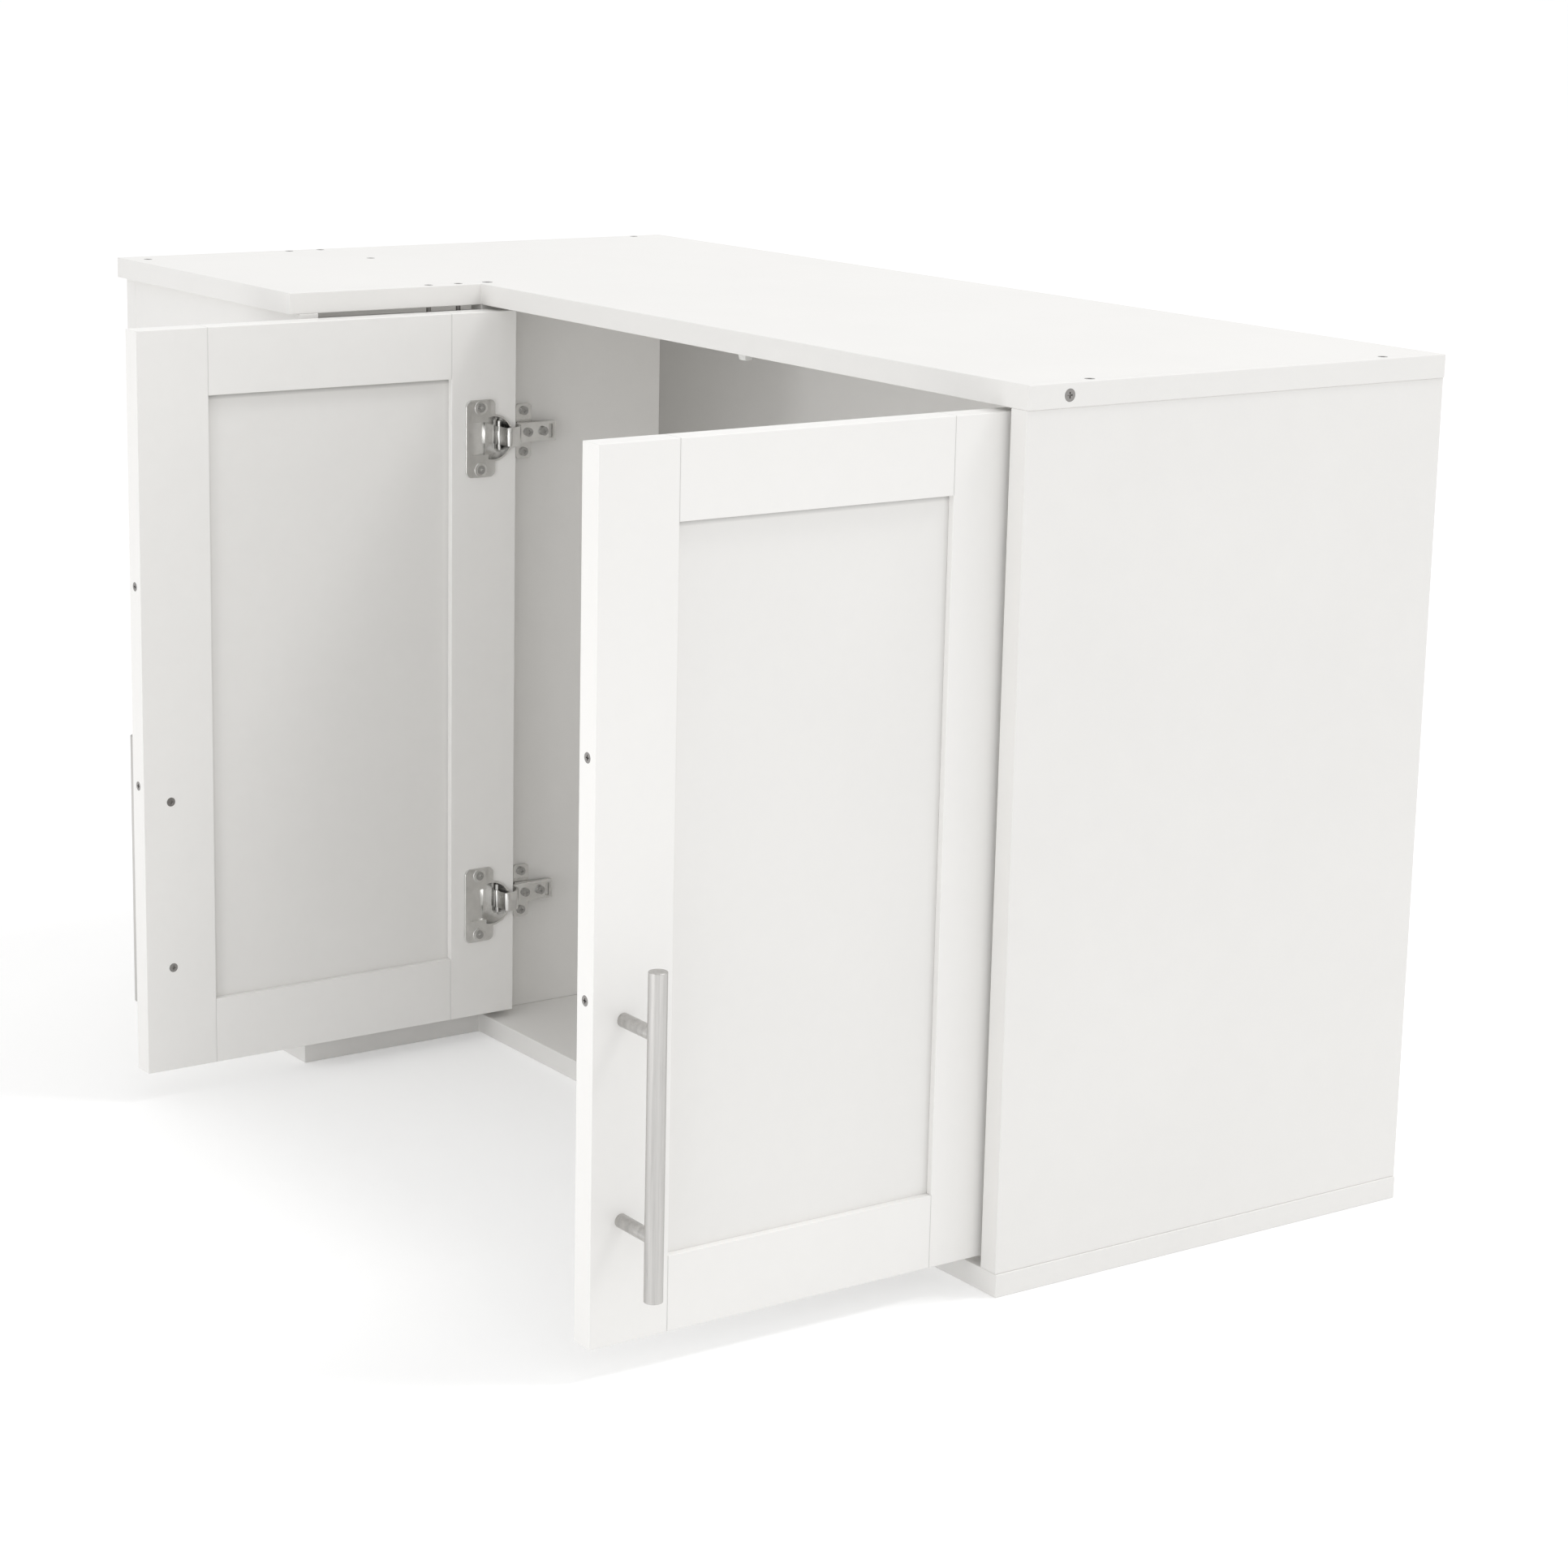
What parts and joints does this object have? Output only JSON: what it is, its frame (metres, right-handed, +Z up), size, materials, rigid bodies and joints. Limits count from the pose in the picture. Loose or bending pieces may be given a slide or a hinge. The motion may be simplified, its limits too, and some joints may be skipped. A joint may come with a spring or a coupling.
{
  "type": "L-shaped wall cabinet",
  "caption": "White L-shaped corner wall cabinet with framed doors standing open on concealed hinges and steel bar handles.",
  "frame": {"origin": "middle of the underside of the whole part with both doors open at a right angle", "axes": "+X along the long wall to the right-hand end, +Y towards the long wall, +Z up"},
  "size_m": [0.9864, 0.6608, 0.6],
  "materials": {
    "white_board": "satin",
    "white_door": "satin",
    "white_plastic": "matte",
    "handle_steel": "brushed",
    "hinge_nickel": "satin",
    "screw_steel": "satin"
  },
  "bodies": {
    "cabinet": {"top_panel": "white_board", "bottom_panel": "white_board", "right_side_panel": "white_board", "left_end_panel": "white_board", "short_back_panel": "white_board", "long_back_panel": "white_board", "corner_post": "white_board", "filler_panel": "white_board", "door_stop": "white_plastic", "top_screws": "screw_steel", "end_face_screw": "screw_steel", "left_lower_hinge_arm": "hinge_nickel", "left_upper_hinge_arm": "hinge_nickel", "left_lower_hinge_plate": "hinge_nickel", "left_upper_hinge_plate": "hinge_nickel", "left_plate_screws": "screw_steel", "left_arm_screws": "screw_steel", "right_lower_hinge_arm": "hinge_nickel", "right_upper_hinge_arm": "hinge_nickel", "right_lower_hinge_plate": "hinge_nickel", "right_upper_hinge_plate": "hinge_nickel", "right_plate_screws": "screw_steel", "right_arm_screws": "screw_steel"},
    "left_door": {"left_hinge_stile": "white_door", "left_free_stile": "white_door", "left_top_rail": "white_door", "left_bottom_rail": "white_door", "left_panel": "white_door", "left_handle_bar": "handle_steel", "left_handle_posts": "handle_steel", "left_handle_screws": "screw_steel", "left_edge_screws": "screw_steel", "left_lower_hinge_cup": "hinge_nickel", "left_upper_hinge_cup": "hinge_nickel", "left_lower_hinge_pin": "hinge_nickel", "left_upper_hinge_pin": "hinge_nickel", "left_flange_screws": "screw_steel"},
    "right_door": {"right_hinge_stile": "white_door", "right_free_stile": "white_door", "right_top_rail": "white_door", "right_bottom_rail": "white_door", "right_panel": "white_door", "right_handle_bar": "handle_steel", "right_handle_posts": "handle_steel", "right_handle_screws": "screw_steel", "right_edge_screws": "screw_steel", "right_lower_hinge_cup": "hinge_nickel", "right_upper_hinge_cup": "hinge_nickel", "right_lower_hinge_pin": "hinge_nickel", "right_upper_hinge_pin": "hinge_nickel", "right_flange_screws": "screw_steel"}
  },
  "joints": [
    {"name": "left_door_hinge", "type": "hinge", "parent": "cabinet", "child": "left_door", "pos_m": [-0.18001, -0.02105, 0.3015], "axis": [0, 0, 1], "range_deg": [0, 90]},
    {"name": "right_door_hinge", "type": "hinge", "parent": "cabinet", "child": "right_door", "pos_m": [0.4416, -0.02105, 0.3015], "axis": [0, 0, 1], "range_deg": [-90, 8]}
  ]
}
